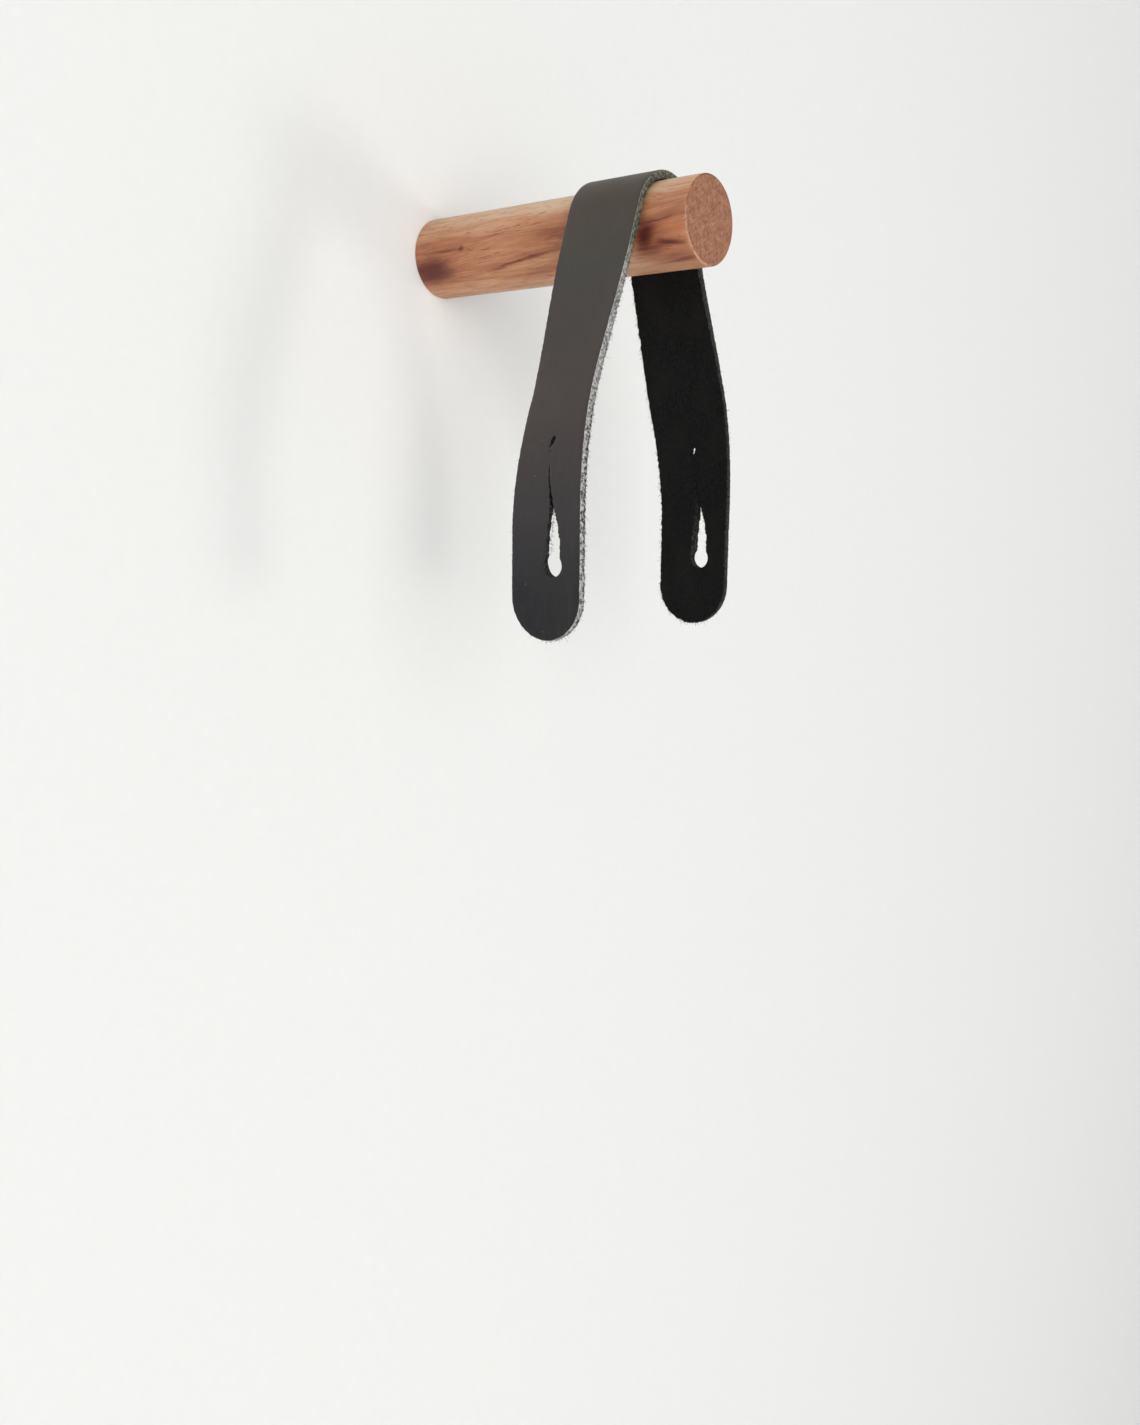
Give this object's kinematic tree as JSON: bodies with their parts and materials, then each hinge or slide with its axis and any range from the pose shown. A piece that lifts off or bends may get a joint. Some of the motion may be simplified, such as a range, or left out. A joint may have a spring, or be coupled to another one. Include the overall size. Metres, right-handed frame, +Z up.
{
  "type": "wall guitar hanger",
  "caption": "Round wooden wall peg on a hidden bolt, with a folded leather strap whose two legs hold an instrument headstock by its tuner shafts.",
  "frame": {"origin": "on the peg's axis, at the surface of the wall", "axes": "+Y into the wall along the peg's axis, -Y out into the room, +Z up, +X to the right seen from the room"},
  "size_m": [0.0788, 0.1453, 0.1334],
  "materials": {
    "walnut": "oiled, satin",
    "brass": "turned",
    "zinc_steel": "zinc plated",
    "nylon": "moulded, matte",
    "leather": "smooth satin grain side, raw suede inside"
  },
  "bodies": {
    "peg": {"wood_peg": "walnut", "threaded_insert": "brass", "hanger_bolt": "zinc_steel", "wall_plug": "nylon"},
    "strap": {"strap_saddle": "leather"},
    "left_leg": {"strap_left_leg": "leather"},
    "right_leg": {"strap_right_leg": "leather"}
  },
  "joints": [
    {"name": "strap_slide", "type": "slide", "parent": "peg", "child": "strap", "axis": [0, 1, 0], "range_m": [-0.013, 0.064]},
    {"name": "left_leg_flex", "type": "hinge", "parent": "strap", "child": "left_leg", "pos_m": [-0.01789, -0.078, -0.00495], "axis": [0, 1, 0], "range_deg": [-16, 45], "stiffness_Nm_per_rad": 0.06, "springref_deg": 0.8},
    {"name": "right_leg_flex", "type": "hinge", "parent": "strap", "child": "right_leg", "pos_m": [0.01789, -0.078, -0.00495], "axis": [0, -1, 0], "range_deg": [-16, 45], "stiffness_Nm_per_rad": 0.06, "springref_deg": 0.8}
  ]
}
